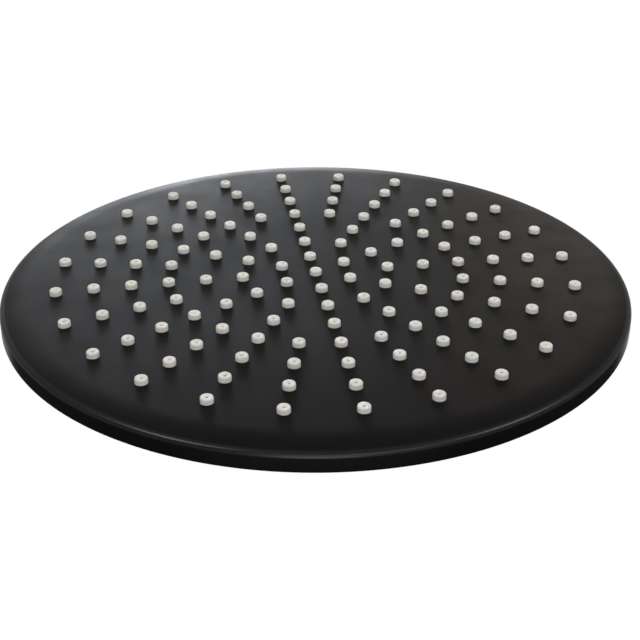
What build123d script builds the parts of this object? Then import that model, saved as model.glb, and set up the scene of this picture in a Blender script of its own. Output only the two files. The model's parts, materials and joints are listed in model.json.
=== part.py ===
# Round rain shower head on a ball joint, spray face down, inlet up.
# The origin is the centre of the inlet's mouth and Z points up, out of the inlet.
# Lengths are millimetres and angles are degrees.
from build123d import *
from math import acos, asin, cos, degrees, floor, radians, sin, sqrt, tan
import os

# Disc: outline of the spray face and its rim
disc_radius = 125.0
level_radius = 50.0  # the middle of the spray face is level out to here
crown_radius = 1680.0  # then it curves very gently up towards the rim
shoulder_radius = 34.0  # and rolls off near the edge
shoulder_slope = 20.0  # slope where the roll-off ends and the edge begins
edge_radius = 2.0
back_edge_radius = 0.5

# Disc: layers from the spray face up to the back
face_wall = 2.6
mat_thickness = 1.2
clamp_thickness = 1.6
cavity_height = 2.8
cover_wall = 2.2

# Disc: rim, inside the edge
rim_wall = 2.5
ledge_width = 2.0
floor_margin = 13.0  # from the outside of the rim to the edge of the level floor
floor_rise = 3.4  # height of the sloped corner between floor and rim
rim_seal_thickness = 0.8
seam_gap = 0.15
seam_chamfer = 0.3

# Nozzles
ring_pitch = 14.72
nozzle_radius = 2.4
nozzle_height = 2.2  # out of the spray face
nozzle_round = 0.85
dimple_radius = 1.4
dimple_depth = 0.6
dimple_round = 0.4
jet_radius = 0.55
jet_length = 1.4  # from the tip to the wider feed
feed_radius = 1.4
hole_gap = 0.1
mat_margin = 1.5

# Clamp plate screws
screw_count = 6  # on each of two circles
screw_radius = 1.2
screw_head_radius = 2.4
screw_head_height = 1.5
screw_head_round = 0.5
screw_reach = 2.2  # depth of the screw's hole below the clamp plate
screw_tip_gap = 0.2
screw_slot_width = 0.7
screw_slot_depth = 0.7
boss_wall = 1.6

# Back cover
boss_height = 6.0
boss_spread = 6.0  # how much wider the boss is at its base
boss_round = 2.0
pocket_gap = 1.0
rib_count = 12
rib_width = 1.6
rib_setback = 5.0
rib_gap = 0.2

# Ball joint
waterway_radius = 4.0
neck_wall = 2.25
neck_flare = 1.5
ball_shoulder = 3.75  # how far the ball stands out past its neck
joint_gap = 0.2  # between the sliding spheres
liner_wall = 1.5
seat_wall = 1.5
seat_depth = 8.0  # from the ball's centre down to the bottom of the seat ring
seal_thickness = 2.0
seal_width = 5.0
tilt_limit = 15.0  # about each of two crossed axes
ring_edge_angle = 1.5  # spare angle at the edges of the two rings
neck_gap = 0.6  # beside the neck at full tilt
spin_gap = 0.1  # around and under the rings that the head spins on
socket_gap = 1.9  # under the socket at full tilt

# Spigot, its nut and the collar nut
spigot_wall = 1.9
spigot_floor = 2.0
spigot_bore = 6.0
flange_width = 5.3
flange_thickness = 2.2
gasket_thickness = 1.0
thread_gap = 0.15
nut_wall = 4.2
nut_height = 3.0
nut_gap = 0.3
nut_chamfer = 0.6
collar_wall = 3.15
lip_height = 1.6
collar_chamfer = 2.0
flute_count = 18
flute_radius = 1.2
flute_depth = 0.5

# Inlet socket and the pieces in it
thread_radius = 10.4775  # pipe thread G 1/2, root of the inside thread
thread_depth = 9.5
socket_wall = 2.0
socket_corner_cut = 0.5
socket_chamfer = 0.8
socket_floor = 1.5
washer_step = 1.2  # from the thread in to the washer's edge
washer_width = 3.7
washer_thickness = 2.5
screen_step = 1.2  # from the washer's edge in to the screen's
screen_thickness = 0.5
screen_margin = 1.2
screen_pitch = 1.4
screen_hole_radius = 0.5
regulator_step = 1.0  # from the screen's edge in to the regulator's
regulator_height = 5.0
regulator_holes = 6
regulator_hole_radius = 0.8
channel_wall = 1.2
channel_width = 2.3
channel_depth = 2.2
outlet_depth = 1.0
ring_section_radius = 1.05
fit_gap = 0.1

# Ball joint: spheres about the ball's centre, and the angles where the rings end
neck_radius = waterway_radius + neck_wall
ball_radius = neck_radius + ball_shoulder
seat_sphere = ball_radius + joint_gap
liner_sphere = seat_sphere + liner_wall
collar_sphere = liner_sphere + joint_gap
seat_radius = seat_sphere + seat_wall
cup_radius = seat_radius + spin_gap
spigot_radius = cup_radius + spigot_wall
corner_tilt = degrees(acos(cos(radians(tilt_limit)) ** 2))  # both tilts at their limits
ring_edge = tilt_limit / 2 + ring_edge_angle
liner_edge = degrees(acos((neck_radius + neck_gap) / seat_sphere)) - tilt_limit
collar_edge = degrees(acos((neck_radius + neck_gap) / collar_sphere)) - corner_tilt

# Collar nut, measured from the ball's centre
nut_thread_radius = spigot_radius + thread_gap
collar_radius = nut_thread_radius + collar_wall
spigot_rim = -seat_radius * tan(radians(ring_edge))
lip_inner_radius = collar_sphere * cos(radians(collar_edge))
lip_inner_height = collar_sphere * sin(radians(collar_edge))
lip_outer_radius = lip_inner_radius + lip_height * tan(radians(corner_tilt))
collar_top = lip_inner_height + lip_height
collar_top_radius = collar_radius - collar_chamfer
collar_reach = collar_top * cos(radians(corner_tilt)) + collar_top_radius * sin(radians(corner_tilt))
neck_rise = collar_reach + socket_gap

# Heights along the axis, from the mouth of the inlet down to the spray face
washer_floor = -thread_depth - washer_thickness
screen_floor = washer_floor - screen_thickness
regulator_floor = screen_floor - regulator_height
socket_bottom = regulator_floor - socket_floor
ball_center = socket_bottom - neck_rise
seal_top = ball_center - seat_depth
cup_floor = seal_top - seal_thickness - spin_gap
boss_top = cup_floor - spigot_floor
flange_top = boss_top - cover_wall - gasket_thickness
disc_back = boss_top - boss_height
cover_inside = disc_back - cover_wall
clamp_top = cover_inside - cavity_height
mat_top = clamp_top - clamp_thickness
floor_top = mat_top - mat_thickness
face_level = floor_top - face_wall
nut_top = boss_top + nut_height
collar_bottom = nut_top + nut_gap

# Radii of the disc, from the rim inwards
rim_inside = disc_radius - rim_wall
cover_radius = rim_inside - seam_gap
ledge_radius = rim_inside - ledge_width
floor_radius = disc_radius - floor_margin
mat_radius = floor_radius - mat_margin
ring_count = floor((mat_radius - nozzle_radius - mat_margin) / ring_pitch)

# Radii of the boss and of the spigot's flange, from the spigot outwards
flange_radius = spigot_radius + flange_width
pocket_radius = flange_radius + pocket_gap
boss_radius = pocket_radius + cover_wall
rib_start = boss_radius + boss_spread + rib_setback
rib_length = floor_radius - rib_start

# Slope where the crown ends and the shoulder begins, so that the edge ends at disc_radius
edge_run = edge_radius * (1 - sin(radians(shoulder_slope)))
shoulder_start = disc_radius - edge_run - shoulder_radius * sin(radians(shoulder_slope))
crown_run = (shoulder_start - level_radius) / (1 - shoulder_radius / crown_radius)
crown_slope = degrees(asin(crown_run / crown_radius))

# Inlet: radii of the pieces in the socket, each stepped in from the one above it
socket_flats = 2 * (thread_radius + socket_wall)
socket_corner = socket_flats / 2 / cos(radians(30)) - socket_corner_cut
washer_radius = thread_radius - washer_step
screen_radius = washer_radius - screen_step
screen_rings = floor((screen_radius - screen_margin - screen_hole_radius) / screen_pitch)
regulator_radius = screen_radius - regulator_step
channel_radius = regulator_radius - channel_wall - channel_width / 2

# Profiles are turned about Z: X is the radius and Y the height, from the inlet or from the ball
axis_plane = Plane.XZ
joint_plane = Plane(origin=(0, 0, ball_center), x_dir=(1, 0, 0), z_dir=(0, -1, 0))


def nozzles_in_ring(ring):
    """Number of nozzles in a ring, where ring 0 is the nozzle in the centre."""
    if ring == 0:
        return 1
    if ring == 1:
        return 6
    if ring <= 3:
        return 12
    return 24


def nozzle_places(ring):
    """Places of one ring of nozzles, with one of them on the Y axis."""
    return PolarLocations(ring * ring_pitch, nozzles_in_ring(ring), start_angle=90)


def nozzle_tip(ring):
    """Height of the tips in a ring, which follow the crown of the spray face."""
    reach = max(0.0, ring * ring_pitch - level_radius)
    face_rise = crown_radius - sqrt(crown_radius**2 - reach**2)
    return face_level + face_rise - nozzle_height


def tip_circles(mat):
    """Round edges of the nozzles, outside the spray face."""
    circles = mat.edges().filter_by(GeomType.CIRCLE)
    return circles.filter_by(lambda circle: circle.is_closed and circle.center().Z < face_level)


def screw_places():
    """Places of the clamp plate's screws, between the rings and spokes of nozzles."""
    half_spoke = 360 / nozzles_in_ring(ring_count) / 2
    places = []
    for ring in (floor(ring_count / 2), ring_count - 1):
        circle = PolarLocations((ring + 0.5) * ring_pitch, screw_count, start_angle=90 + half_spoke)
        places += circle.local_locations
    return places


os.makedirs("parts", exist_ok=True)

# Spray plate: face, rounded rim and screw bosses in one moulding
with BuildPart() as spray_plate:
    with BuildSketch(axis_plane):
        with BuildLine():
            level = Line((0, face_level), (level_radius, face_level))
            crown = JernArc(level @ 1, level % 1, crown_radius, crown_slope)
            shoulder = JernArc(crown @ 1, crown % 1, shoulder_radius, shoulder_slope - crown_slope)
            edge = JernArc(shoulder @ 1, shoulder % 1, edge_radius, 90 - shoulder_slope)
            Polyline(
                edge @ 1,
                (disc_radius, disc_back),
                (rim_inside, disc_back),
                (rim_inside, cover_inside - rim_seal_thickness),
                (ledge_radius, cover_inside - rim_seal_thickness),
                (ledge_radius, floor_top + floor_rise),
                (floor_radius, floor_top),
                (0, floor_top),
                (0, face_level),
            )
        make_face()
    revolve(axis=Axis.Z)
    back_rim = spray_plate.edges().filter_by(GeomType.CIRCLE).group_by(Axis.Z)[-1]
    fillet(back_rim.sort_by(SortBy.RADIUS)[-1], back_edge_radius)
    with BuildSketch(Plane.XY.offset(floor_top)):
        with Locations(screw_places()):
            Circle(screw_radius + boss_wall)
    extrude(amount=mat_thickness)
    with BuildSketch(Plane.XY.offset(mat_top)):
        with Locations(screw_places()):
            Circle(screw_radius)
    extrude(amount=-screw_reach, mode=Mode.SUBTRACT)
    with BuildSketch(Plane.XY.offset(face_level)):
        for ring in range(ring_count + 1):
            with nozzle_places(ring):
                Circle(nozzle_radius + hole_gap)
    extrude(amount=disc_back - face_level, mode=Mode.SUBTRACT)
spray_plate.part.label = "spray_plate"
export_step(spray_plate.part, "parts/spray_plate.step")

# Nozzle mat: a sheet with every nozzle, in one soft moulding
with BuildPart() as nozzle_mat:
    with BuildSketch(Plane.XY.offset(floor_top)):
        Circle(mat_radius)
        with Locations(screw_places()):
            Circle(screw_radius + boss_wall + hole_gap, mode=Mode.SUBTRACT)
    extrude(amount=mat_thickness)
    for ring in range(ring_count + 1):
        with BuildSketch(Plane.XY.offset(floor_top)):
            with nozzle_places(ring):
                Circle(nozzle_radius)
        extrude(amount=nozzle_tip(ring) - floor_top)
    fillet(tip_circles(nozzle_mat), nozzle_round)
    for ring in range(ring_count + 1):
        with nozzle_places(ring):
            with Locations((0, 0, nozzle_tip(ring) + dimple_depth / 2)):
                Cone(dimple_radius, jet_radius, dimple_depth, mode=Mode.SUBTRACT)
    dimple_rims = tip_circles(nozzle_mat).group_by(SortBy.RADIUS)[1]
    fillet(dimple_rims, dimple_round)
    for ring in range(ring_count + 1):
        tip = nozzle_tip(ring)
        with BuildSketch(Plane.XY.offset(mat_top)):
            with nozzle_places(ring):
                Circle(feed_radius)
        extrude(amount=tip + jet_length - mat_top, mode=Mode.SUBTRACT)
        with BuildSketch(Plane.XY.offset(mat_top)):
            with nozzle_places(ring):
                Circle(jet_radius)
        extrude(amount=tip - mat_top, mode=Mode.SUBTRACT)
nozzle_mat.part.label = "nozzle_mat"
export_step(nozzle_mat.part, "parts/nozzle_mat.step")

# Clamp plate: presses the mat onto the face and feeds each nozzle
with BuildPart() as clamp_plate:
    with BuildSketch(Plane.XY.offset(mat_top)):
        Circle(mat_radius)
        for ring in range(ring_count + 1):
            with nozzle_places(ring):
                Circle(feed_radius, mode=Mode.SUBTRACT)
        with Locations(screw_places()):
            Circle(screw_radius + fit_gap, mode=Mode.SUBTRACT)
    extrude(amount=clamp_thickness)
clamp_plate.part.label = "clamp_plate"
export_step(clamp_plate.part, "parts/clamp_plate.step")

# Plate screws: pan heads with a cross slot
with BuildPart() as plate_screws:
    with BuildSketch(Plane.XY.offset(clamp_top)):
        with Locations(screw_places()):
            Circle(screw_head_radius)
    extrude(amount=screw_head_height)
    fillet(plate_screws.edges().group_by(Axis.Z)[-1], screw_head_round)
    with BuildSketch(Plane.XY.offset(clamp_top + screw_head_height)):
        with Locations(screw_places()):
            Rectangle(screw_head_radius, screw_slot_width)
            Rectangle(screw_slot_width, screw_head_radius)
    extrude(amount=-screw_slot_depth, mode=Mode.SUBTRACT)
    with BuildSketch(Plane.XY.offset(clamp_top)):
        with Locations(screw_places()):
            Circle(screw_radius - fit_gap)
    extrude(amount=screw_tip_gap - clamp_thickness - screw_reach)
plate_screws.part.label = "plate_screws"
export_step(plate_screws.part, "parts/plate_screws.step")

# Rim seal: flat gasket on the ledge inside the rim
with BuildPart() as rim_seal:
    with BuildSketch(Plane.XY.offset(cover_inside)):
        Circle(cover_radius)
        Circle(ledge_radius, mode=Mode.SUBTRACT)
    extrude(amount=-rim_seal_thickness)
rim_seal.part.label = "rim_seal"
export_step(rim_seal.part, "parts/rim_seal.step")

# Back cover: plain disc with a raised boss around the spigot, and ribs inside
with BuildPart() as back_cover:
    with BuildSketch(axis_plane):
        with BuildLine():
            Polyline(
                (spigot_radius + fit_gap, boss_top),
                (boss_radius, boss_top),
                (boss_radius + boss_spread, disc_back),
                (cover_radius, disc_back),
                (cover_radius, cover_inside),
                (pocket_radius + boss_spread, cover_inside),
                (pocket_radius, boss_top - cover_wall),
                (spigot_radius + fit_gap, boss_top - cover_wall),
                close=True,
            )
        make_face()
    revolve(axis=Axis.Z)
    boss_circles = back_cover.edges().filter_by(GeomType.CIRCLE).group_by(Axis.Z)
    fillet(boss_circles[-1].sort_by(SortBy.RADIUS)[-1], boss_round)
    back_circles = back_cover.edges().filter_by(GeomType.CIRCLE)
    back_circles = back_circles.filter_by_position(Axis.Z, disc_back, disc_back).sort_by(SortBy.RADIUS)
    chamfer(back_circles[-1], seam_chamfer)
    back_circles = back_cover.edges().filter_by(GeomType.CIRCLE)
    back_circles = back_circles.filter_by_position(Axis.Z, disc_back, disc_back).sort_by(SortBy.RADIUS)
    fillet(back_circles[0], boss_round)
    with BuildSketch(Plane.XY.offset(cover_inside)):
        with PolarLocations(rib_start + rib_length / 2, rib_count):
            Rectangle(rib_length, rib_width)
    extrude(amount=rib_gap - cavity_height)
back_cover.part.label = "back_cover"
export_step(back_cover.part, "parts/back_cover.step")

# Spigot: cup for the ball joint, threaded outside, with a flange inside the boss
with BuildPart() as spigot:
    with BuildSketch(axis_plane):
        with BuildLine():
            Polyline(
                (cup_radius, ball_center + spigot_rim),
                (spigot_radius, ball_center + spigot_rim),
                (spigot_radius, flange_top),
                (flange_radius, flange_top),
                (flange_radius, flange_top - flange_thickness),
                (spigot_bore, flange_top - flange_thickness),
                (spigot_bore, cup_floor),
                (cup_radius, cup_floor),
                close=True,
            )
        make_face()
    revolve(axis=Axis.Z)
spigot.part.label = "spigot"
export_step(spigot.part, "parts/spigot.step")

# Spigot gasket: between the flange and the cover
with BuildPart() as spigot_gasket:
    with BuildSketch(Plane.XY.offset(flange_top)):
        Circle(flange_radius)
        Circle(spigot_radius + fit_gap, mode=Mode.SUBTRACT)
    extrude(amount=gasket_thickness)
spigot_gasket.part.label = "spigot_gasket"
export_step(spigot_gasket.part, "parts/spigot_gasket.step")

# Spigot nut: thin hexagon nut on the boss
with BuildPart() as spigot_nut:
    with BuildSketch(Plane.XY.offset(boss_top)):
        RegularPolygon(nut_thread_radius + nut_wall, 6, major_radius=False)
        Circle(nut_thread_radius, mode=Mode.SUBTRACT)
    extrude(amount=nut_height)
    outer_edges = spigot_nut.edges().filter_by(GeomType.LINE).group_by(Axis.Z)[-1]
    chamfer(outer_edges, nut_chamfer)
spigot_nut.part.label = "spigot_nut"
export_step(spigot_nut.part, "parts/spigot_nut.step")

# Collar nut: holds the ball down, with a lip that clears the neck at full tilt
with BuildPart() as collar_nut:
    with BuildSketch(joint_plane):
        with BuildLine():
            dome = CenterArc((0, 0), collar_sphere, 0, collar_edge)
            Polyline(
                dome @ 1,
                (lip_outer_radius, collar_top),
                (collar_top_radius, collar_top),
                (collar_radius, collar_top - collar_chamfer),
                (collar_radius, collar_bottom - ball_center),
                (nut_thread_radius, collar_bottom - ball_center),
                (nut_thread_radius, spigot_rim + nut_gap),
                (collar_sphere, spigot_rim + nut_gap),
                dome @ 0,
            )
        make_face()
    revolve(axis=Axis.Z)
    with BuildSketch(Plane.XY.offset(collar_bottom)):
        with PolarLocations(collar_radius + flute_radius - flute_depth, flute_count):
            Circle(flute_radius)
    extrude(amount=ball_center + collar_top - collar_bottom, mode=Mode.SUBTRACT)
collar_nut.part.label = "collar_nut"
export_step(collar_nut.part, "parts/collar_nut.step")

# Ball liner: upper slip ring, a band between two spheres
with BuildPart() as ball_liner:
    with BuildSketch(joint_plane):
        with BuildLine():
            inner_band = CenterArc((0, 0), seat_sphere, ring_edge, liner_edge - ring_edge)
            outer_band = CenterArc((0, 0), liner_sphere, ring_edge, liner_edge - ring_edge)
            Line(inner_band @ 0, outer_band @ 0)
            Line(inner_band @ 1, outer_band @ 1)
        make_face()
    revolve(axis=Axis.Z)
ball_liner.part.label = "ball_liner"
export_step(ball_liner.part, "parts/ball_liner.step")

# Seat ring: lower ring under the ball, round outside so that the head can spin on it
with BuildPart() as seat_ring:
    seat_angle = degrees(asin(seat_depth / seat_sphere))
    with BuildSketch(joint_plane):
        with BuildLine():
            cup = CenterArc((0, 0), seat_sphere, -seat_angle, seat_angle - ring_edge)
            Polyline(
                cup @ 1,
                (seat_radius, spigot_rim),
                (seat_radius, -seat_depth),
                cup @ 0,
            )
        make_face()
    revolve(axis=Axis.Z)
seat_ring.part.label = "seat_ring"
export_step(seat_ring.part, "parts/seat_ring.step")

# Ball seal: soft ring under the seat ring
with BuildPart() as ball_seal:
    with BuildSketch(Plane.XY.offset(seal_top)):
        Circle(seat_radius)
        Circle(seat_radius - seal_width, mode=Mode.SUBTRACT)
    extrude(amount=-seal_thickness)
ball_seal.part.label = "ball_seal"
export_step(ball_seal.part, "parts/ball_seal.step")

# Ball stem: hexagon socket, neck and ball, bored through
with BuildPart() as ball_stem:
    with BuildSketch(Plane.XY.offset(socket_bottom)):
        RegularPolygon(socket_flats / 2, 6, major_radius=False)
    extrude(amount=-socket_bottom)
    with BuildSketch(axis_plane):
        with BuildLine():
            Polyline(
                (0, 0),
                (socket_corner - socket_chamfer, 0),
                (socket_corner, -socket_chamfer),
                (socket_corner, socket_bottom + socket_chamfer),
                (socket_corner - socket_chamfer, socket_bottom),
                (0, socket_bottom),
                close=True,
            )
        make_face()
    revolve(axis=Axis.Z, mode=Mode.INTERSECT)
    with BuildSketch(axis_plane):
        with BuildLine():
            Polyline(
                (0, socket_bottom),
                (neck_radius + neck_flare, socket_bottom),
                (neck_radius, socket_bottom - neck_flare),
                (neck_radius, ball_center),
                (0, ball_center),
                close=True,
            )
        make_face()
    revolve(axis=Axis.Z)
    with Locations((0, 0, ball_center)):
        Sphere(ball_radius)
    with BuildSketch(axis_plane):
        with BuildLine():
            Polyline(
                (0, 0),
                (thread_radius, 0),
                (thread_radius, -thread_depth),
                (washer_radius + fit_gap, -thread_depth),
                (washer_radius + fit_gap, washer_floor),
                (screen_radius + fit_gap, washer_floor),
                (screen_radius + fit_gap, screen_floor),
                (regulator_radius + fit_gap, screen_floor),
                (regulator_radius + fit_gap, regulator_floor),
                (waterway_radius, regulator_floor),
                (waterway_radius, ball_center - ball_radius),
                (0, ball_center - ball_radius),
                close=True,
            )
        make_face()
    revolve(axis=Axis.Z, mode=Mode.SUBTRACT)
ball_stem.part.label = "ball_stem"
export_step(ball_stem.part, "parts/ball_stem.step")

# Filter washer: seals the inlet against the pipe that is screwed in
with BuildPart() as filter_washer:
    with BuildSketch(Plane.XY.offset(washer_floor)):
        Circle(washer_radius)
        Circle(washer_radius - washer_width, mode=Mode.SUBTRACT)
    extrude(amount=washer_thickness)
filter_washer.part.label = "filter_washer"
export_step(filter_washer.part, "parts/filter_washer.step")

# Filter screen: perforated disc under the washer
with BuildPart() as filter_screen:
    with BuildSketch(Plane.XY.offset(screen_floor)):
        Circle(screen_radius)
        Circle(screen_hole_radius, mode=Mode.SUBTRACT)
        for ring in range(1, screen_rings + 1):
            with PolarLocations(ring * screen_pitch, 6 * ring):
                Circle(screen_hole_radius, mode=Mode.SUBTRACT)
    extrude(amount=screen_thickness)
filter_screen.part.label = "filter_screen"
export_step(filter_screen.part, "parts/filter_screen.step")

# Flow regulator: insert with a ring channel above a row of holes
with BuildPart() as flow_regulator:
    with BuildSketch(Plane.XY.offset(regulator_floor)):
        Circle(regulator_radius)
    extrude(amount=regulator_height)
    with BuildSketch(Plane.XY.offset(screen_floor)):
        Circle(channel_radius + channel_width / 2)
        Circle(channel_radius - channel_width / 2, mode=Mode.SUBTRACT)
    extrude(amount=-channel_depth, mode=Mode.SUBTRACT)
    with BuildSketch(Plane.XY.offset(regulator_floor)):
        Circle(channel_radius + channel_width / 2)
    extrude(amount=outlet_depth, mode=Mode.SUBTRACT)
    with BuildSketch(Plane.XY.offset(regulator_floor)):
        with PolarLocations(channel_radius, regulator_holes):
            Circle(regulator_hole_radius)
    extrude(amount=regulator_height, mode=Mode.SUBTRACT)
flow_regulator.part.label = "flow_regulator"
export_step(flow_regulator.part, "parts/flow_regulator.step")

# Regulator ring: soft ring in the channel, squeezed by the water pressure
with BuildPart() as regulator_ring:
    with Locations((0, 0, screen_floor - channel_depth + ring_section_radius + fit_gap / 2)):
        Torus(channel_radius, ring_section_radius)
regulator_ring.part.label = "regulator_ring"
export_step(regulator_ring.part, "parts/regulator_ring.step")
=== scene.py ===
"""Looks of a round rain shower head: its finishes, the thread of its inlet, the studio and the camera.

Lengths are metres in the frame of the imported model. The origin is the mouth of the inlet, Z points up
out of it, and the spray face looks down.
"""

import json
import logging
import math
from dataclasses import dataclass, field
from enum import Enum
from typing import Any

import bmesh
import bpy
from mathutils import Matrix, Vector

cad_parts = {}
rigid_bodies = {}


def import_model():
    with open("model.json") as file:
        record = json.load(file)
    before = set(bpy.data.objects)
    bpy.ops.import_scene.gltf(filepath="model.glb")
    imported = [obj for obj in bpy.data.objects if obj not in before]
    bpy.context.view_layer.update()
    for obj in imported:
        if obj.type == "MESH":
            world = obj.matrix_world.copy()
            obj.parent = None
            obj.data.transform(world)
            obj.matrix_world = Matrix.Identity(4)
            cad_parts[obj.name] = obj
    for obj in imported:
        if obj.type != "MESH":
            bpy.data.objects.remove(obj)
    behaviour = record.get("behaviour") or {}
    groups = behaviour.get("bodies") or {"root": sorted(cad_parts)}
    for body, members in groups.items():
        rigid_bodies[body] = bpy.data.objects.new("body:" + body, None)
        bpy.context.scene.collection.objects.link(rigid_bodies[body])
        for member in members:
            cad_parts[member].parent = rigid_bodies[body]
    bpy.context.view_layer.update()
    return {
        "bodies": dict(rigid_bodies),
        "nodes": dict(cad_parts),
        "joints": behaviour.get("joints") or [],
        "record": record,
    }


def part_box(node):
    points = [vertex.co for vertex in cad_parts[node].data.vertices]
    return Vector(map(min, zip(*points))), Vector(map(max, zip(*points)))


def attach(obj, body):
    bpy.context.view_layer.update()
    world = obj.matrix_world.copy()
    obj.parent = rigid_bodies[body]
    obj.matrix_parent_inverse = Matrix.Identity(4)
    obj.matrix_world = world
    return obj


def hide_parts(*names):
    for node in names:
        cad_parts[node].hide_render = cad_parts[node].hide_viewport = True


LOG = logging.getLogger("shower_head")
MM = 0.001
SHARP_ANGLE = 35.0
MERGE_DISTANCE = 0.001 * MM
NOISE_LOW = 0.3
NOISE_HIGH = 0.7
GRAIN_SCALE = 2500.0
GLOW_SPREAD = (1.0, 0.8, 0.6)

Colour = tuple[float, float, float]
Point = tuple[float, float, float]
Frame = dict[str, Any]


class Surface(Enum):
    """Ways in which a surface was made, each with a fine texture of its own."""

    MOULDED = "moulded_grain"
    TURNED = "turned_lines"


class Carving(Enum):
    """Ways to combine two solid meshes."""

    CUT = "DIFFERENCE"
    JOIN = "UNION"


class Profile:
    """The outline of a turned piece, drawn as straight runs and arcs from point to point."""

    def __init__(self, radius: float, height: float, spacing: float) -> None:
        """Start the outline.

        Args:
            radius: Radius of the first point.
            height: Height of the first point.
            spacing: Longest step along a straight run.
        """
        self.points = [Vector((radius, height))]
        self.spacing = spacing

    def line_to(self, radius: float, height: float) -> None:
        """Draw a straight run in even steps.

        Args:
            radius: Radius of its end.
            height: Height of its end.
        """
        start = self.points[-1]
        end = Vector((radius, height))
        steps = max(1, math.ceil((end - start).length / self.spacing))
        self.points += [start.lerp(end, step / steps) for step in range(1, steps + 1)]

    def bend(self, radius: float, start_slope: float, end_slope: float, steps: int) -> None:
        """Draw an arc that leaves and ends at two slopes.

        Args:
            radius: Radius of the arc, negative where it turns to the right.
            start_slope: Slope of the outline at its start, in degrees.
            end_slope: Slope at its end, in degrees.
            steps: Number of steps along it.
        """
        start = self.points[-1]
        first = math.radians(start_slope)
        for step in range(1, steps + 1):
            slope = math.radians(start_slope + (end_slope - start_slope) * step / steps)
            run = math.sin(slope) - math.sin(first)
            rise = math.cos(first) - math.cos(slope)
            self.points.append(start + radius * Vector((run, rise)))

    def turn(self, segments: int) -> bmesh.types.BMesh:
        """Turn the closed outline about the Z axis.

        Args:
            segments: Number of steps around the axis.

        Returns:
            A ring-shaped solid mesh.
        """
        mesh = bmesh.new()
        rows = []
        for segment in range(segments):
            direction = polar(1.0, 360.0 * (segment + 0.5) / segments)
            row = []
            for radius, height in self.points:
                row.append(mesh.verts.new((direction.x * radius, direction.y * radius, height)))
            rows.append(row)
        for segment, row in enumerate(rows):
            before = rows[segment - 1]
            for corner in range(len(row)):
                mesh.faces.new((before[corner - 1], before[corner], row[corner], row[corner - 1]))
        bmesh.ops.recalc_face_normals(mesh, faces=mesh.faces)
        return mesh


class Bench:
    """A node tree with short ways to place and join nodes."""

    def __init__(self, tree: bpy.types.NodeTree) -> None:
        """Keep the tree and empty it.

        Args:
            tree: Node tree of a material, a world or a group.
        """
        self.tree = tree
        tree.nodes.clear()

    def add(self, kind: str, **settings: Any) -> bpy.types.Node:
        """Place a node.

        Args:
            kind: Blender's name for the node's type.
            settings: Values of the node's own properties.

        Returns:
            The new node.
        """
        node = self.tree.nodes.new(kind)
        for name, value in settings.items():
            setattr(node, name, value)
        return node

    def join(self, source: bpy.types.NodeSocket, target: bpy.types.NodeSocket) -> None:
        """Link an output to an input."""
        self.tree.links.new(source, target)

    def math(self, operation: str, first: Any, second: Any = 0.0) -> bpy.types.NodeSocket:
        """Place a math node.

        Args:
            operation: Blender's name for the operation.
            first: Number or output socket.
            second: Number or output socket.

        Returns:
            The node's output socket.
        """
        node = self.add("ShaderNodeMath", operation=operation)
        for socket, value in zip(node.inputs, (first, second)):
            if isinstance(value, bpy.types.NodeSocket):
                self.join(value, socket)
            else:
                socket.default_value = value
        return node.outputs[0]

    def noise(self, place: bpy.types.NodeSocket, scale: Any, detail: float) -> bpy.types.NodeSocket:
        """Place a noise texture.

        Args:
            place: Output socket with the coordinates.
            scale: Number or output socket, in cycles a metre.
            detail: Number of finer layers.

        Returns:
            The socket with the noise, from 0 to 1.
        """
        node = self.add("ShaderNodeTexNoise")
        node.inputs["Detail"].default_value = detail
        self.join(place, node.inputs["Vector"])
        if isinstance(scale, bpy.types.NodeSocket):
            self.join(scale, node.inputs["Scale"])
        else:
            node.inputs["Scale"].default_value = scale
        return node.outputs["Fac"]

    def blend(self, share: bpy.types.NodeSocket, first: Colour, second: Colour) -> bpy.types.NodeSocket:
        """Mix two colours.

        Args:
            share: Output socket, 0 for the first colour and 1 for the second.
            first: Linear colour.
            second: Linear colour.

        Returns:
            The socket with the mixed colour.
        """
        node = self.add("ShaderNodeMix", data_type="RGBA")
        node.inputs["A"].default_value = (*first, 1.0)
        node.inputs["B"].default_value = (*second, 1.0)
        self.join(share, node.inputs["Factor"])
        return node.outputs["Result"]

    def ramp(
        self,
        value: bpy.types.NodeSocket,
        start: float,
        end: float,
        low: float = 0.0,
        high: float = 1.0,
        way: str = "SMOOTHSTEP",
    ) -> bpy.types.NodeSocket:
        """Map a value from one range to another.

        Args:
            value: Output socket with the value.
            start: Value where the ramp starts.
            end: Value where it ends.
            low: Result up to the start.
            high: Result from the end on.
            way: Blender's name for the shape of the ramp.

        Returns:
            The socket with the mapped value.
        """
        node = self.add("ShaderNodeMapRange", interpolation_type=way)
        node.inputs["From Min"].default_value = start
        node.inputs["From Max"].default_value = end
        node.inputs["To Min"].default_value = low
        node.inputs["To Max"].default_value = high
        self.join(value, node.inputs["Value"])
        return node.outputs["Result"]

    def spread(self, noise: bpy.types.NodeSocket, low: float, high: float) -> bpy.types.NodeSocket:
        """Map a noise to a range.

        Args:
            noise: Output socket with a noise, mostly between NOISE_LOW and NOISE_HIGH.
            low: Result where the noise is low.
            high: Result where the noise is high.

        Returns:
            The socket with the mapped value.
        """
        return self.ramp(noise, NOISE_LOW, NOISE_HIGH, low, high, way="LINEAR")

    def radius(self, place: bpy.types.NodeSocket) -> bpy.types.NodeSocket:
        """Measure the distance from the Z axis.

        Args:
            place: Output socket with the coordinates.

        Returns:
            The socket with the distance.
        """
        flat = self.add("ShaderNodeVectorMath", operation="MULTIPLY")
        flat.inputs[1].default_value = (1.0, 1.0, 0.0)
        self.join(place, flat.inputs[0])
        length = self.add("ShaderNodeVectorMath", operation="LENGTH")
        self.join(flat.outputs["Vector"], length.inputs[0])
        return length.outputs["Value"]


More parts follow.
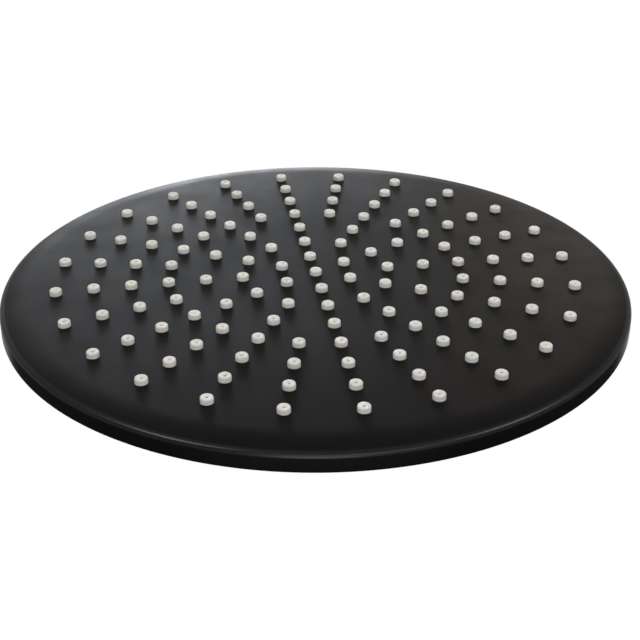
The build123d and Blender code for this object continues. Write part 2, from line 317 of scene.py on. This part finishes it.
class Texture:
    """The shader node groups that several finishes share."""

    surface_outputs = ("Height", "Tone", "Polish")

    def __init__(self) -> None:
        """Build each group once."""
        self.surfaces = {
            Surface.MOULDED: self._moulded(),
            Surface.TURNED: self._turned(),
        }
        self.edges = self._edges()

    def _group(
        self, name: str, inputs: dict[str, float], outputs: tuple[str, ...]
    ) -> tuple[Bench, bpy.types.Node, bpy.types.Node]:
        """Start a node group.

        Args:
            name: Name of the group.
            inputs: Input names with their default values.
            outputs: Names of the values that the group puts out.

        Returns:
            The group's bench, its input node and its output node.
        """
        tree = bpy.data.node_groups.new(name, "ShaderNodeTree")
        for label, value in inputs.items():
            socket = tree.interface.new_socket(label, in_out="INPUT", socket_type="NodeSocketFloat")
            socket.default_value = value
        for label in outputs:
            tree.interface.new_socket(label, in_out="OUTPUT", socket_type="NodeSocketFloat")
        bench = Bench(tree)
        return bench, bench.add("NodeGroupInput"), bench.add("NodeGroupOutput")

    def _moulded(self) -> bpy.types.NodeTree:
        """Build the even, fine grain of a moulded surface.

        Returns:
            A group that puts out a height, a slow change of tone and a change of polish, all from 0 to 1.
        """
        cloud_scale = 22.0
        handling_scale = 70.0
        grain_detail = 2.0
        cloud_detail = 3.0
        handling_detail = 4.0
        bench, given, made = self._group(
            Surface.MOULDED.value, {"Grain Scale": GRAIN_SCALE}, self.surface_outputs
        )
        place = bench.add("ShaderNodeTexCoord").outputs["Object"]
        grain = bench.noise(place, given.outputs["Grain Scale"], grain_detail)
        cloud = bench.noise(place, cloud_scale, cloud_detail)
        handling = bench.noise(place, handling_scale, handling_detail)
        bench.join(grain, made.inputs["Height"])
        bench.join(cloud, made.inputs["Tone"])
        bench.join(handling, made.inputs["Polish"])
        return bench.tree

    def _turned(self) -> bpy.types.NodeTree:
        """Build the fine rings that a lathe leaves around the Z axis.

        Returns:
            A group that puts out a height, a slow change of tone and a change of polish, all from 0 to 1.
        """
        cloud_scale = 120.0
        line_detail = 3.0
        cloud_detail = 2.0
        bench, given, made = self._group(
            Surface.TURNED.value, {"Grain Scale": GRAIN_SCALE}, self.surface_outputs
        )
        place = bench.add("ShaderNodeTexCoord").outputs["Object"]
        parts = bench.add("ShaderNodeSeparateXYZ")
        bench.join(place, parts.inputs["Vector"])
        ring = bench.add("ShaderNodeCombineXYZ")
        bench.join(bench.radius(place), ring.inputs["X"])
        bench.join(parts.outputs["Z"], ring.inputs["Z"])
        lines = bench.noise(ring.outputs["Vector"], given.outputs["Grain Scale"], line_detail)
        bench.join(lines, made.inputs["Height"])
        bench.join(bench.noise(place, cloud_scale, cloud_detail), made.inputs["Tone"])
        bench.join(lines, made.inputs["Polish"])
        return bench.tree

    def _edges(self) -> bpy.types.NodeTree:
        """Build the mask of edges, which handling rubs first.

        Returns:
            A group that puts out a mask, 1 on the edges and 0 on flat faces.
        """
        width = 0.4 * MM
        contrast = 6.0
        bevel_samples = 4
        bench, given, made = self._group("rubbed_edges", {"Width": width, "Contrast": contrast}, ("Mask",))
        rounded = bench.add("ShaderNodeBevel", samples=bevel_samples)
        bench.join(given.outputs["Width"], rounded.inputs["Radius"])
        facing = bench.add("ShaderNodeVectorMath", operation="DOT_PRODUCT")
        bench.join(rounded.outputs["Normal"], facing.inputs[0])
        bench.join(bench.add("ShaderNodeNewGeometry").outputs["Normal"], facing.inputs[1])
        turn = bench.math("SUBTRACT", 1.0, facing.outputs["Value"])
        strength = bench.math("MULTIPLY", turn, given.outputs["Contrast"])
        bench.join(bench.math("MINIMUM", strength, 1.0), made.inputs["Mask"])
        return bench.tree


@dataclass(frozen=True)
class Finish:
    """One finish of the head. Colours are linear, and the roughness varies between its two values."""

    name: str
    dark_tone: Colour
    light_tone: Colour
    smooth: float
    rough: float
    surface: Surface
    grain_scale: float
    grain_depth: float
    metallic: float = 0.0
    specular: float = 0.5
    glow_depth: float = 0.0
    edge_tone: Colour | None = None
    edge_width: float = 0.0
    polish: float = 0.0
    polish_roughness: float = 0.0
    polish_from: float = 0.0
    polish_to: float = 0.0

    def material(self, texture: Texture) -> bpy.types.Material:
        """Make the material.

        Args:
            texture: Node groups to place in it.

        Returns:
            The new material.
        """
        material = bpy.data.materials.new(self.name)
        material.use_nodes = True
        bench = Bench(material.node_tree)
        shader = bench.add("ShaderNodeBsdfPrincipled")
        bench.join(shader.outputs["BSDF"], bench.add("ShaderNodeOutputMaterial").inputs["Surface"])
        shader.inputs["Metallic"].default_value = self.metallic
        shader.inputs["Specular IOR Level"].default_value = self.specular
        grain = bench.add("ShaderNodeGroup", node_tree=texture.surfaces[self.surface])
        grain.inputs["Grain Scale"].default_value = self.grain_scale
        tone = bench.spread(grain.outputs["Tone"], 0.0, 1.0)
        colour = bench.blend(tone, self.dark_tone, self.light_tone)
        if self.edge_tone is not None:
            colour = self._rub(bench, texture, colour)
        bench.join(colour, shader.inputs["Base Color"])
        bench.join(bench.spread(grain.outputs["Polish"], self.smooth, self.rough), shader.inputs["Roughness"])
        if self.polish:
            bench.join(self._rim_polish(bench), shader.inputs["Coat Weight"])
            shader.inputs["Coat Roughness"].default_value = self.polish_roughness
        bump = bench.add("ShaderNodeBump")
        bump.inputs["Distance"].default_value = self.grain_depth
        bench.join(grain.outputs["Height"], bump.inputs["Height"])
        bench.join(bump.outputs["Normal"], shader.inputs["Normal"])
        if self.glow_depth:
            shader.inputs["Subsurface Weight"].default_value = 1.0
            shader.inputs["Subsurface Scale"].default_value = self.glow_depth
            shader.inputs["Subsurface Radius"].default_value = GLOW_SPREAD
        return material

    def _rim_polish(self, bench: Bench) -> bpy.types.NodeSocket:
        """Find how far hands have polished the surface, which they do most at the rim.

        Args:
            bench: Bench of the material.

        Returns:
            The socket with the weight of the polish, which grows with the distance from the Z axis.
        """
        radius = bench.radius(bench.add("ShaderNodeTexCoord").outputs["Object"])
        return bench.ramp(radius, self.polish_from, self.polish_to, high=self.polish)

    def _rub(self, bench: Bench, texture: Texture, colour: bpy.types.NodeSocket) -> bpy.types.NodeSocket:
        """Lighten the edges.

        Args:
            bench: Bench of the material.
            texture: Node groups to place in it.
            colour: Socket with the colour of the flat faces.

        Returns:
            The socket with the colour of faces and edges.
        """
        edges = bench.add("ShaderNodeGroup", node_tree=texture.edges)
        edges.inputs["Width"].default_value = self.edge_width
        node = bench.add("ShaderNodeMix", data_type="RGBA")
        node.inputs["B"].default_value = (*self.edge_tone, 1.0)
        bench.join(colour, node.inputs["A"])
        bench.join(edges.outputs["Mask"], node.inputs["Factor"])
        return node.outputs["Result"]


SATIN_BLACK = Finish(
    name="satin_black_plastic",
    dark_tone=(0.0030, 0.0030, 0.0032),
    light_tone=(0.0043, 0.0043, 0.0045),
    smooth=0.42,
    rough=0.50,
    surface=Surface.MOULDED,
    grain_scale=2600.0,
    grain_depth=0.006 * MM,
    specular=0.05,
    polish=0.35,
    polish_roughness=0.28,
    polish_from=122.4 * MM,
    polish_to=123.8 * MM,
)
PALE_SILICONE = Finish(
    name="pale_silicone",
    dark_tone=(0.57, 0.56, 0.525),
    light_tone=(0.64, 0.63, 0.595),
    smooth=0.45,
    rough=0.60,
    surface=Surface.MOULDED,
    grain_scale=1800.0,
    grain_depth=0.01 * MM,
    specular=0.4,
    glow_depth=0.1 * MM,
)
GREY_MOULDING = Finish(
    name="grey_moulding",
    dark_tone=(0.46, 0.47, 0.48),
    light_tone=(0.55, 0.56, 0.57),
    smooth=0.42,
    rough=0.55,
    surface=Surface.MOULDED,
    grain_scale=1500.0,
    grain_depth=0.01 * MM,
)
SLIP_PLASTIC = Finish(
    name="slip_plastic",
    dark_tone=(0.70, 0.69, 0.65),
    light_tone=(0.80, 0.79, 0.75),
    smooth=0.30,
    rough=0.42,
    surface=Surface.TURNED,
    grain_scale=4000.0,
    grain_depth=0.004 * MM,
)
BRIGHT_STEEL = Finish(
    name="bright_steel",
    dark_tone=(0.50, 0.50, 0.50),
    light_tone=(0.62, 0.62, 0.62),
    smooth=0.22,
    rough=0.38,
    surface=Surface.MOULDED,
    grain_scale=3000.0,
    grain_depth=0.006 * MM,
    metallic=1.0,
)
BLACK_COATING = Finish(
    name="black_coating",
    dark_tone=(0.0050, 0.0050, 0.0053),
    light_tone=(0.0072, 0.0072, 0.0075),
    smooth=0.34,
    rough=0.44,
    surface=Surface.TURNED,
    grain_scale=3000.0,
    grain_depth=0.006 * MM,
    edge_tone=(0.022, 0.021, 0.020),
    edge_width=0.25 * MM,
)
TURNED_BRASS = Finish(
    name="turned_brass",
    dark_tone=(0.60, 0.42, 0.17),
    light_tone=(0.75, 0.56, 0.27),
    smooth=0.20,
    rough=0.36,
    surface=Surface.TURNED,
    grain_scale=4500.0,
    grain_depth=0.01 * MM,
    metallic=1.0,
)
SEAL_RUBBER = Finish(
    name="seal_rubber",
    dark_tone=(0.014, 0.014, 0.014),
    light_tone=(0.026, 0.026, 0.025),
    smooth=0.60,
    rough=0.78,
    surface=Surface.MOULDED,
    grain_scale=1600.0,
    grain_depth=0.02 * MM,
    specular=0.3,
)


class Assembly:
    """A group of the head's pieces, with the finish of each."""

    finishes: dict[str, Finish] = {}

    def dress(self, frame: Frame, materials: dict[str, bpy.types.Material]) -> None:
        """Give each piece its finish.

        Args:
            frame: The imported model.
            materials: Materials by the name of their finish.
        """
        for name, finish in self.finishes.items():
            mesh = frame["nodes"][name].data
            mesh.materials.clear()
            mesh.materials.append(materials[finish.name])
            LOG.info("dressed %s in %s", name, finish.name)


@dataclass
class SprayDisc(Assembly):
    """Spray face with its nozzles, the plate and the seal behind it, and the back cover."""

    disc_radius: float = 125.0 * MM
    level_radius: float = 50.0 * MM
    crown_radius: float = 1680.0 * MM
    shoulder_radius: float = 34.0 * MM
    shoulder_slope: float = 20.0
    edge_radius: float = 2.0 * MM
    back_edge_radius: float = 0.5 * MM
    face_wall: float = 2.6 * MM
    mat_thickness: float = 1.2 * MM
    cover_wall: float = 2.2 * MM
    rim_wall: float = 2.5 * MM
    ledge_width: float = 2.0 * MM
    floor_margin: float = 13.0 * MM
    floor_rise: float = 3.4 * MM
    rim_seal: float = 0.8 * MM
    seam_gap: float = 0.15 * MM
    seam_chamfer: float = 0.3 * MM
    ring_pitch: float = 14.72 * MM
    nozzle_counts: tuple[int, ...] = (6, 12, 12, 24, 24, 24, 24)
    nozzle_hole: float = 2.5 * MM
    screw_rings: tuple[float, ...] = (3.5, 6.5)
    screws_a_ring: int = 6
    screw_turn: float = 7.5
    screw_hole: float = 1.2 * MM
    screw_reach: float = 2.2 * MM
    screw_post: float = 2.8 * MM
    cover_hole: float = 13.8 * MM
    boss_radius: float = 22.2 * MM
    boss_spread: float = 6.0 * MM
    boss_height: float = 6.0 * MM
    boss_round: float = 2.0 * MM
    rib_count: int = 12
    rib_width: float = 1.6 * MM
    rib_setback: float = 5.0 * MM
    rib_height: float = 2.6 * MM
    overcut: float = 0.5 * MM
    segments: int = 240
    hole_segments: int = 40
    crown_steps: int = 20
    shoulder_steps: int = 12
    edge_steps: int = 14
    back_edge_steps: int = 6
    boss_steps: int = 8
    spacing: float = 3.0 * MM
    face_level: float = field(init=False)
    disc_back: float = field(init=False)
    floor_top: float = field(init=False)
    cover_inside: float = field(init=False)
    floor_radius: float = field(init=False)

    finishes = {
        "nozzle_mat": PALE_SILICONE,
        "clamp_plate": GREY_MOULDING,
        "plate_screws": BRIGHT_STEEL,
        "rim_seal": SEAL_RUBBER,
    }

    def build(self, materials: dict[str, bpy.types.Material]) -> None:
        """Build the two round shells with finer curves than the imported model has.

        Args:
            materials: Materials by the name of their finish.
        """
        self.face_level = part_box("spray_plate")[0].z
        self.disc_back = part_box("spray_plate")[1].z
        self.floor_top = self.face_level + self.face_wall
        self.cover_inside = self.disc_back - self.cover_wall
        self.floor_radius = self.disc_radius - self.floor_margin
        shells = (
            ("spray_shell", "spray_plate", self._spray_plate()),
            ("cover_shell", "back_cover", self._back_cover()),
        )
        for name, node, shell in shells:
            piece = add_piece(name, shell, materials[SATIN_BLACK.name])
            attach(piece, "head")
            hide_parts(node)

    def _nozzle_places(self) -> list[Vector]:
        """List the nozzles around the middle one, ring by ring.

        Returns:
            The places, at height 0, with one nozzle of each ring on the Y axis.
        """
        return [
            polar(ring * self.ring_pitch, 90.0 + 360.0 * index / count)
            for ring, count in enumerate(self.nozzle_counts, start=1)
            for index in range(count)
        ]

    def _screw_places(self) -> list[Vector]:
        """List the screws of the clamp plate, which stand between the nozzles.

        Returns:
            The places, at height 0.
        """
        return [
            polar(ring * self.ring_pitch, 90.0 + self.screw_turn + 360.0 * index / self.screws_a_ring)
            for ring in self.screw_rings
            for index in range(self.screws_a_ring)
        ]

    def _spray_plate(self) -> bmesh.types.BMesh:
        """Turn the face with its rim, and cut the holes of the nozzles and the screws.

        Returns:
            The finished mesh.
        """
        slope = math.radians(self.shoulder_slope)
        edge_run = self.edge_radius * (1 - math.sin(slope))
        shoulder_start = self.disc_radius - edge_run - self.shoulder_radius * math.sin(slope)
        crown_run = (shoulder_start - self.level_radius) / (1 - self.shoulder_radius / self.crown_radius)
        crown_slope = math.degrees(math.asin(crown_run / self.crown_radius))
        rim_inside = self.disc_radius - self.rim_wall
        ledge_radius = rim_inside - self.ledge_width
        ledge_top = self.cover_inside - self.rim_seal
        profile = Profile(self.nozzle_hole, self.face_level, self.spacing)
        profile.line_to(self.level_radius, self.face_level)
        profile.bend(self.crown_radius, 0.0, crown_slope, self.crown_steps)
        profile.bend(self.shoulder_radius, crown_slope, self.shoulder_slope, self.shoulder_steps)
        profile.bend(self.edge_radius, self.shoulder_slope, 90.0, self.edge_steps)
        profile.line_to(self.disc_radius, self.disc_back - self.back_edge_radius)
        profile.bend(self.back_edge_radius, 90.0, 180.0, self.back_edge_steps)
        profile.line_to(rim_inside, self.disc_back)
        profile.line_to(rim_inside, ledge_top)
        profile.line_to(ledge_radius, ledge_top)
        profile.line_to(ledge_radius, self.floor_top + self.floor_rise)
        profile.line_to(self.floor_radius, self.floor_top)
        profile.line_to(self.nozzle_hole, self.floor_top)
        mat_top = self.floor_top + self.mat_thickness
        posts = pegs(
            self._screw_places(), self.screw_post, self.floor_top - self.overcut, mat_top, self.hole_segments
        )
        holes = pegs(
            self._nozzle_places(),
            self.nozzle_hole,
            self.face_level - self.overcut,
            self.floor_top + self.overcut,
            self.hole_segments,
        )
        screw_holes = pegs(
            self._screw_places(),
            self.screw_hole,
            mat_top - self.screw_reach,
            mat_top + self.overcut,
            self.hole_segments,
        )
        plate = carve(profile.turn(self.segments), posts, Carving.JOIN)
        plate = carve(plate, holes, Carving.CUT)
        return carve(plate, screw_holes, Carving.CUT)

    def _back_cover(self) -> bmesh.types.BMesh:
        """Turn the cover with its boss, and join the ribs to its inside.

        Returns:
            The finished mesh.
        """
        cover_radius = self.disc_radius - self.rim_wall - self.seam_gap
        boss_top = self.disc_back + self.boss_height
        boss_base = self.boss_radius + self.boss_spread
        boss_slope = math.degrees(math.atan2(self.boss_height, self.boss_spread))
        corner = self.boss_round * math.tan(math.radians(boss_slope) / 2)
        lean = Vector((self.boss_spread, -self.boss_height)).normalized() * corner
        inside_top = boss_top - self.cover_wall
        profile = Profile(self.cover_hole, boss_top, self.spacing)
        profile.line_to(self.boss_radius - corner, boss_top)
        profile.bend(-self.boss_round, 0.0, -boss_slope, self.boss_steps)
        profile.line_to(boss_base - lean.x, self.disc_back - lean.y)
        profile.bend(self.boss_round, -boss_slope, 0.0, self.boss_steps)
        profile.line_to(cover_radius - self.seam_chamfer, self.disc_back)
        profile.line_to(cover_radius, self.disc_back - self.seam_chamfer)
        profile.line_to(cover_radius, self.cover_inside)
        profile.line_to(boss_base - self.cover_wall, self.cover_inside)
        profile.line_to(self.boss_radius - self.cover_wall, inside_top)
        profile.line_to(self.cover_hole, inside_top)
        rib_start = boss_base + self.rib_setback
        ribs = bmesh.new()
        for index in range(self.rib_count):
            place = polar((rib_start + self.floor_radius) / 2, 360.0 * index / self.rib_count)
            place.z = self.cover_inside - (self.rib_height - self.overcut) / 2
            size = (self.floor_radius - rib_start, self.rib_width, self.rib_height + self.overcut)
            turn = Matrix.Rotation(math.atan2(place.y, place.x), 4, "Z")
            shape = Matrix.Translation(place) @ turn @ Matrix.Diagonal((*size, 1.0))
            bmesh.ops.create_cube(ribs, matrix=shape)
        return carve(profile.turn(self.segments), ribs, Carving.JOIN)


class BallJoint(Assembly):
    """Spigot with its nuts, and the rings that the ball turns in."""

    finishes = {
        "spigot": TURNED_BRASS,
        "spigot_gasket": SEAL_RUBBER,
        "spigot_nut": BLACK_COATING,
        "collar_nut": BLACK_COATING,
        "ball_liner": SLIP_PLASTIC,
        "seat_ring": SLIP_PLASTIC,
        "ball_seal": SEAL_RUBBER,
    }


@dataclass
class Inlet(Assembly):
    """Ball stem with the pieces in its socket, and the ridges of the pipe thread."""

    root_radius: float = 10.4775 * MM
    crest_radius: float = 9.32 * MM
    pitch: float = 1.814 * MM
    top: float = -0.5 * MM
    bottom: float = -9.3 * MM
    root_width: float = 1.5 * MM
    crest_width: float = 0.4 * MM
    sink: float = 0.05 * MM
    steps_a_turn: int = 96
    fade_turns: float = 0.4

    finishes = {
        "ball_stem": BLACK_COATING,
        "filter_washer": SEAL_RUBBER,
        "filter_screen": BRIGHT_STEEL,
        "flow_regulator": GREY_MOULDING,
        "regulator_ring": SEAL_RUBBER,
    }

    def build(self, materials: dict[str, bpy.types.Material]) -> None:
        """Build the ridges of the thread on the wall of the bore.

        Args:
            materials: Materials by the name of their finish.
        """
        mesh = bmesh.new()
        turns = (self.top - self.bottom - self.root_width) / self.pitch
        steps = round(turns * self.steps_a_turn)
        rows = [self._section(mesh, step, steps) for step in range(steps + 1)]
        for row, following in zip(rows, rows[1:]):
            for corner in range(len(row)):
                behind = corner - 1
                mesh.faces.new((row[behind], row[corner], following[corner], following[behind]))
        mesh.faces.new(list(reversed(rows[0])))
        mesh.faces.new(rows[-1])
        bmesh.ops.recalc_face_normals(mesh, faces=mesh.faces)
        thread = add_piece("inlet_thread", mesh, materials[TURNED_BRASS.name])
        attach(thread, "connector")

    def _section(self, mesh: bmesh.types.BMesh, step: int, steps: int) -> list[bmesh.types.BMVert]:
        """Add the corners of the ridge at one step of its helix.

        Args:
            mesh: Mesh to add to.
            step: Number of this step.
            steps: Number of the last step.

        Returns:
            The corners, from the lower root to the upper root.
        """
        angle = 2 * math.pi * step / self.steps_a_turn
        height = self.bottom + self.root_width / 2 + self.pitch * step / self.steps_a_turn
        fade_steps = self.fade_turns * self.steps_a_turn
        full = min(1.0, (min(step, steps - step) + 1) / fade_steps)
        crest = self.root_radius - (self.root_radius - self.crest_radius) * full
        corners = [
            (self.root_radius + self.sink, -self.root_width / 2),
            (crest, -self.crest_width / 2),
            (crest, self.crest_width / 2),
            (self.root_radius + self.sink, self.root_width / 2),
        ]
        return [
            mesh.verts.new((radius * math.cos(angle), radius * math.sin(angle), height + rise))
            for radius, rise in corners
        ]


@dataclass(frozen=True)
class Softbox:
    """A soft lamp that looks at the head.

    Its azimuth goes from -Y to +X and its elevation up from the horizon, both in degrees.
    """

    name: str
    azimuth: float
    elevation: float
    distance: float
    width: float
    height: float
    watts: float
    tint: Colour = (1.0, 1.0, 1.0)
    aim: Point = (0.0, 0.0, -0.06)

    def build(self) -> None:
        """Add the lamp."""
        data = bpy.data.lights.new(self.name, "AREA")
        data.shape = "RECTANGLE"
        data.size = self.width
        data.size_y = self.height
        data.energy = self.watts
        data.color = self.tint
        lamp = bpy.data.objects.new(self.name, data)
        outwards = polar(math.cos(math.radians(self.elevation)), self.azimuth - 90.0)
        outwards.z = math.sin(math.radians(self.elevation))
        lamp.location = Vector(self.aim) + self.distance * outwards
        lamp.rotation_euler = outwards.to_track_quat("Z", "Y").to_euler()
        lamp.visible_camera = False
        bpy.context.scene.collection.objects.link(lamp)


@dataclass
class Studio:
    """Floor, lamps, surroundings and camera."""

    floor_height: float = -1.3
    cove_radius: float = 8.0
    backdrop_rise: float = 12.5
    backdrop_peak: float = 60.0
    backdrop_turn: float = 99.0
    backdrop_spread: float = 60.0
    cove_segments: int = 96
    floor_tone: float = 0.80
    fade_from: float = 1.2
    fade_to: float = 4.0
    horizon_tone: float = 0.6
    white_from: float = 1.0
    white_to: float = 1.75
    ambient: float = 0.04
    lens_pixels: float = 1320.8
    picture_pixels: float = 640.0
    sensor: float = 36.0
    camera_elevation: float = 28.206
    camera_turn: float = 9.212
    camera_distance: float = 496.2 * MM
    camera_aim: Point = (4.70 * MM, -39.71 * MM, -62.72 * MM)

    lamps = (
        Softbox("left_lamp", 80.0, -57.0, 1.2, 0.40, 0.30, 5.2, (1.0, 0.99, 0.97)),
        Softbox("right_lamp", -72.0, -46.0, 1.2, 0.55, 0.30, 4.9, (1.0, 0.97, 0.92)),
        Softbox("front_lamp", -4.0, -40.0, 1.2, 0.95, 0.50, 4.6, (0.90, 0.92, 1.0)),
        Softbox("low_front_lamp", 9.0, -10.0, 1.2, 0.50, 0.50, 4.3, (1.0, 0.98, 0.92)),
        Softbox("side_left_lamp", 163.0, -27.0, 1.6, 0.60, 0.45, 2.2),
        Softbox("far_left_lamp", 175.5, -8.5, 1.6, 0.45, 0.45, 3.9, (0.88, 0.93, 1.0)),
        Softbox("far_lamp", 186.0, -4.5, 1.6, 0.45, 0.45, 4.8, (0.90, 0.94, 1.0)),
        Softbox("far_right_lamp", 209.0, -24.0, 1.6, 0.50, 0.45, 2.4, (1.0, 0.85, 0.70)),
        Softbox("front_fill_lamp", 9.0, 30.0, 1.6, 2.00, 0.80, 0.6),
        Softbox("over_lamp", 165.0, 72.0, 1.1, 0.80, 0.80, 14.0),
        Softbox("rear_lamp", -158.0, 26.0, 2.2, 1.00, 0.60, 6.0),
    )

    def build(self) -> None:
        """Add everything around the head."""
        bpy.context.scene.view_settings.view_transform = "Standard"
        self._build_world()
        self._build_cove()
        for lamp in self.lamps:
            lamp.build()
            LOG.info("placed %s", lamp.name)
        self._build_camera()

    def _build_world(self) -> None:
        """Surround the head with even, soft light."""
        world = bpy.data.worlds.new("studio")
        world.use_nodes = True
        bpy.context.scene.world = world
        bench = Bench(world.node_tree)
        light = bench.add("ShaderNodeBackground")
        light.inputs["Color"].default_value = (1.0, 1.0, 1.0, 1.0)
        light.inputs["Strength"].default_value = self.ambient
        bench.join(light.outputs["Background"], bench.add("ShaderNodeOutputWorld").inputs["Surface"])

    def _build_cove(self) -> None:
        """Add a pale floor far below the head, with a low round backdrop that is taller on the far side."""
        mesh = bmesh.new()
        middle = mesh.verts.new((0.0, 0.0, self.floor_height))
        columns = []
        for segment in range(self.cove_segments):
            angle = 360.0 * segment / self.cove_segments
            foot = polar(self.cove_radius, angle)
            away = abs((angle - self.backdrop_turn + 180.0) % 360.0 - 180.0)
            share = 0.5 + 0.5 * math.cos(math.pi * min(1.0, away / self.backdrop_spread))
            rise = self.backdrop_rise + (self.backdrop_peak - self.backdrop_rise) * share
            top = self.cove_radius * math.tan(math.radians(rise))
            columns.append([mesh.verts.new((foot.x, foot.y, height)) for height in (self.floor_height, top)])
        for segment, (foot, top) in enumerate(columns):
            before_foot, before_top = columns[segment - 1]
            mesh.faces.new((middle, before_foot, foot))
            mesh.faces.new((before_foot, before_top, top, foot))
        cove = add_piece("cove", mesh, self._cove_material())

    def _cove_material(self) -> bpy.types.Material:
        """Paint the floor under the head, and let the rest be seen as pale grey that rises to white.

        Returns:
            The new material.
        """
        material = bpy.data.materials.new("pale_cove")
        material.use_nodes = True
        bench = Bench(material.node_tree)
        path = bench.add("ShaderNodeLightPath")
        seen = bench.math("MAXIMUM", path.outputs["Is Camera Ray"], path.outputs["Is Glossy Ray"])
        seen = bench.math("MAXIMUM", seen, path.outputs["Is Transmission Ray"])
        clear = bench.add("ShaderNodeBsdfTransparent")
        place = bench.add("ShaderNodeTexCoord").outputs["Object"]
        height = bench.add("ShaderNodeSeparateXYZ")
        bench.join(place, height.inputs["Vector"])
        tone = bench.ramp(height.outputs["Z"], self.white_from, self.white_to, low=self.horizon_tone)
        glow = bench.add("ShaderNodeEmission")
        bench.join(tone, glow.inputs["Color"])
        backdrop = self._mix(bench, seen, clear.outputs["BSDF"], glow.outputs["Emission"])
        reach = bench.add("ShaderNodeVectorMath", operation="LENGTH")
        bench.join(place, reach.inputs[0])
        fade = bench.ramp(reach.outputs["Value"], self.fade_from, self.fade_to)
        paint = bench.add("ShaderNodeBsdfDiffuse")
        paint.inputs["Color"].default_value = (self.floor_tone, self.floor_tone, self.floor_tone, 1.0)
        surface = self._mix(bench, fade, paint.outputs["BSDF"], backdrop)
        bench.join(surface, bench.add("ShaderNodeOutputMaterial").inputs["Surface"])
        return material

    @staticmethod
    def _mix(
        bench: Bench,
        share: bpy.types.NodeSocket,
        first: bpy.types.NodeSocket,
        second: bpy.types.NodeSocket,
    ) -> bpy.types.NodeSocket:
        """Mix two shaders.

        Args:
            bench: Bench of the material.
            share: Output socket, 0 for the first shader and 1 for the second.
            first: Output socket of a shader.
            second: Output socket of a shader.

        Returns:
            The socket with the mixed shader.
        """
        node = bench.add("ShaderNodeMixShader")
        bench.join(share, node.inputs["Fac"])
        bench.join(first, node.inputs[1])
        bench.join(second, node.inputs[2])
        return node.outputs["Shader"]

    def _build_camera(self) -> None:
        """Add the camera below the disc, on its side of the spray face and upside down."""
        elevation = math.radians(self.camera_elevation)
        turn = Matrix.Rotation(math.radians(self.camera_turn), 3, "Z")
        forward = turn @ Vector((0.0, math.cos(elevation), math.sin(elevation)))
        up = turn @ Vector((0.0, math.sin(elevation), -math.cos(elevation)))
        right = forward.cross(up)
        data = bpy.data.cameras.new("camera")
        data.sensor_width = self.sensor
        data.lens = self.lens_pixels / self.picture_pixels * self.sensor
        camera = bpy.data.objects.new("camera", data)
        place = Vector(self.camera_aim) - forward * self.camera_distance
        axes = Matrix((right, up, -forward)).transposed().to_4x4()
        camera.matrix_world = Matrix.Translation(place) @ axes
        bpy.context.scene.collection.objects.link(camera)
        bpy.context.scene.camera = camera


def polar(radius: float, angle: float) -> Vector:
    """Find a point at height 0.

    Args:
        radius: Distance from the Z axis.
        angle: Angle from the X axis, in degrees.

    Returns:
        The point.
    """
    turn = math.radians(angle)
    return Vector((radius * math.cos(turn), radius * math.sin(turn), 0.0))


def pegs(places: list[Vector], radius: float, low: float, high: float, segments: int) -> bmesh.types.BMesh:
    """Make a set of equal upright pegs, to cut or to join.

    Args:
        places: Places of their axes.
        radius: Their radius.
        low: Height of their lower ends.
        high: Height of their upper ends.
        segments: Number of steps around each.

    Returns:
        One mesh of all the pegs.
    """
    mesh = bmesh.new()
    for place in places:
        middle = Matrix.Translation((place.x, place.y, (low + high) / 2))
        bmesh.ops.create_cone(
            mesh,
            cap_ends=True,
            segments=segments,
            radius1=radius,
            radius2=radius,
            depth=high - low,
            matrix=middle,
        )
    return mesh


def carve(solid: bmesh.types.BMesh, tool: bmesh.types.BMesh, way: Carving) -> bmesh.types.BMesh:
    """Combine two solid meshes.

    Args:
        solid: Mesh to change, which is freed.
        tool: Mesh to cut away or to join, which is freed.
        way: Whether it is cut or joined.

    Returns:
        The combined mesh.
    """
    objects = []
    for name, mesh in (("carved", solid), ("tool", tool)):
        data = bpy.data.meshes.new(name)
        mesh.to_mesh(data)
        mesh.free()
        objects.append(bpy.data.objects.new(name, data))
        bpy.context.scene.collection.objects.link(objects[-1])
    carved, cutter = objects
    modifier = carved.modifiers.new("carving", "BOOLEAN")
    modifier.operation = way.value
    modifier.object = cutter
    modifier.solver = "EXACT"
    result = bmesh.new()
    result.from_object(carved, bpy.context.evaluated_depsgraph_get())
    bmesh.ops.remove_doubles(result, verts=result.verts, dist=MERGE_DISTANCE)
    bmesh.ops.dissolve_degenerate(result, edges=result.edges, dist=MERGE_DISTANCE)
    for leftover in objects:
        data = leftover.data
        bpy.data.objects.remove(leftover)
        bpy.data.meshes.remove(data)
    return result


def add_piece(name: str, mesh: bmesh.types.BMesh, material: bpy.types.Material) -> bpy.types.Object:
    """Make an object of a finished mesh.

    Args:
        name: Name of the piece.
        mesh: Its mesh, which is freed.
        material: Its material.

    Returns:
        The new object.
    """
    data = bpy.data.meshes.new(name)
    mesh.to_mesh(data)
    mesh.free()
    data.polygons.foreach_set("use_smooth", [True] * len(data.polygons))
    data.set_sharp_from_angle(angle=math.radians(SHARP_ANGLE))
    data.materials.append(material)
    piece = bpy.data.objects.new(name, data)
    bpy.context.scene.collection.objects.link(piece)
    LOG.info("built %s with %d faces", name, len(data.polygons))
    return piece


def main() -> None:
    """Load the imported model, dress it, add the shells and the thread, and set up the studio."""
    logging.basicConfig(level=logging.INFO, format="%(message)s")
    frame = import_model()
    texture = Texture()
    finishes = (
        SATIN_BLACK, PALE_SILICONE, GREY_MOULDING, SLIP_PLASTIC,
        BRIGHT_STEEL, BLACK_COATING, TURNED_BRASS, SEAL_RUBBER,
    )
    materials = {finish.name: finish.material(texture) for finish in finishes}
    disc = SprayDisc()
    inlet = Inlet()
    for assembly in (disc, BallJoint(), inlet):
        assembly.dress(frame, materials)
    disc.build(materials)
    inlet.build(materials)
    Studio().build()


if __name__ == "__main__":
    main()
